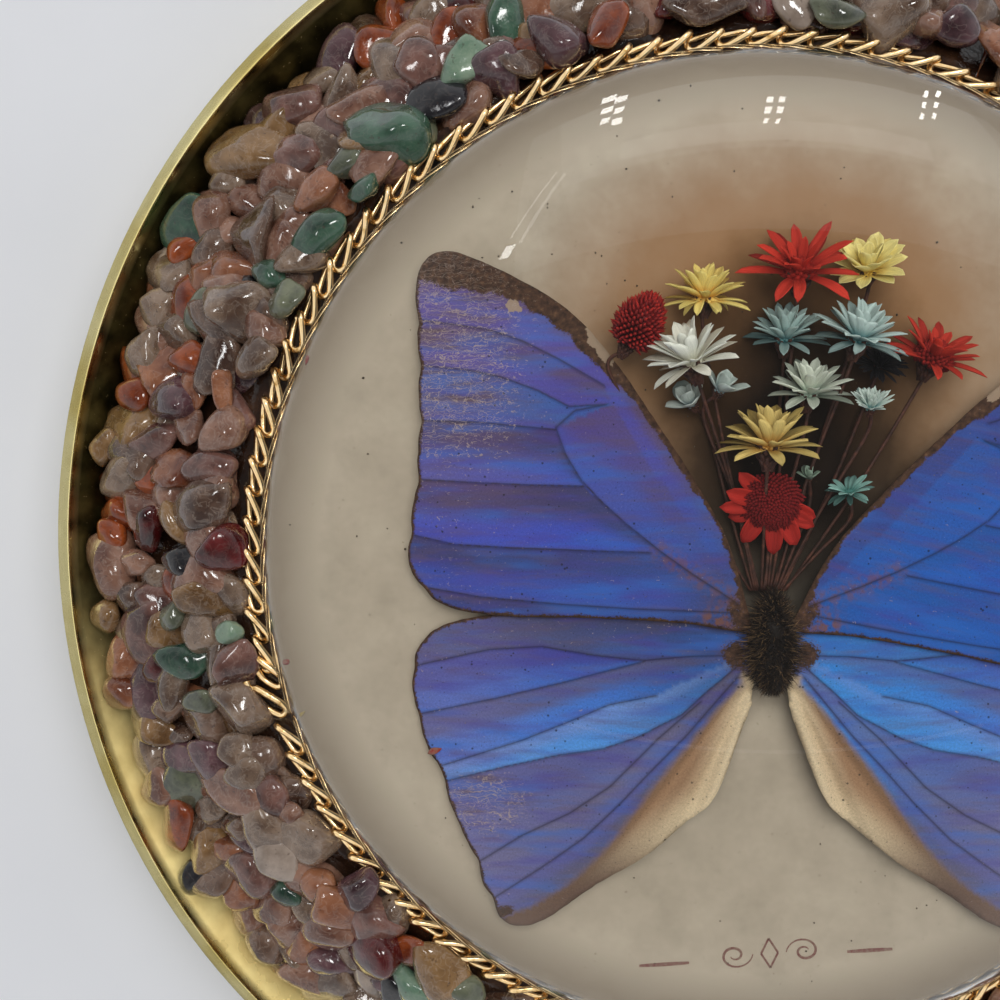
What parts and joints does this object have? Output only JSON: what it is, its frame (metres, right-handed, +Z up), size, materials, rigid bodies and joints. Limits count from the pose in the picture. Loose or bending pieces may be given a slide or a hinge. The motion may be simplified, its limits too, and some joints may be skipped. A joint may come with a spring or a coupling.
{
  "type": "butterfly under a glass dome in a gemstone dish",
  "caption": "Round metal dish with a border of tumbled gemstone chips, holding a blue butterfly and dried flowers under a shallow glass dome ringed by a chain.",
  "frame": {"origin": "centre of the dish's flat foot, on the surface it stands on", "axes": "+Z up along the dish's axis, +Y the way the butterfly's head points, +X to the viewer's right when its head is up"},
  "size_m": [0.135, 0.135, 0.0233],
  "materials": {
    "gold_tone_metal": "polished spun gold-tone metal with faint turning lines",
    "clear_brown_glue": "dark amber clear glue, glossy",
    "tumbled_stone": "polished tumbled quartz, amethyst, carnelian and aventurine chips",
    "gold_chain": "bright gold-tone plated wire",
    "aged_card": "cream card, aged and stained",
    "clear_glass": "clear polished glass",
    "blue_wing": "iridescent blue scales with dark brown margins",
    "dark_fur": "matt dark brown hair",
    "dried_stem": "matt dried stem",
    "petal_red": "matt dyed dried petal",
    "petal_pale": "matt dyed dried petal",
    "petal_white": "matt dyed dried petal",
    "petal_yellow": "matt dyed dried petal",
    "petal_ochre": "matt dyed dried petal",
    "petal_teal": "matt dyed dried petal",
    "petal_green": "matt dyed dried petal",
    "petal_black": "matt dyed dried petal"
  },
  "bodies": {
    "root": {"dish": "gold_tone_metal", "glue_bed": "clear_brown_glue", "gem_chips": "tumbled_stone", "curb_chain": "gold_chain", "backing_card": "aged_card", "glass_dome": "clear_glass", "forewing_left": "blue_wing", "forewing_right": "blue_wing", "hindwing_left": "blue_wing", "hindwing_right": "blue_wing", "butterfly_body": "dark_fur", "flower_red_cone": "petal_red", "stem_red_cone": "dried_stem", "flower_pale_low": "petal_pale", "stem_pale_low": "dried_stem", "flower_white": "petal_white", "stem_white": "dried_stem", "flower_pale_high": "petal_pale", "stem_pale_high": "dried_stem", "flower_yellow_left": "petal_yellow", "stem_yellow_left": "dried_stem", "flower_ochre": "petal_ochre", "stem_ochre": "dried_stem", "flower_red_disc": "petal_red", "stem_red_disc": "dried_stem", "flower_teal_left": "petal_teal", "stem_teal_left": "dried_stem", "flower_red_top": "petal_red", "stem_red_top": "dried_stem", "flower_white_teal": "petal_white", "stem_white_teal": "dried_stem", "flower_yellow_right": "petal_yellow", "stem_yellow_right": "dried_stem", "flower_teal_right": "petal_teal", "stem_teal_right": "dried_stem", "flower_green_bud": "petal_green", "stem_green_bud": "dried_stem", "flower_white_teal_small": "petal_white", "stem_white_teal_small": "dried_stem", "flower_black": "petal_black", "stem_black": "dried_stem", "flower_teal_small": "petal_teal", "stem_teal_small": "dried_stem", "flower_red_right": "petal_red", "stem_red_right": "dried_stem"}
  },
  "joints": []
}
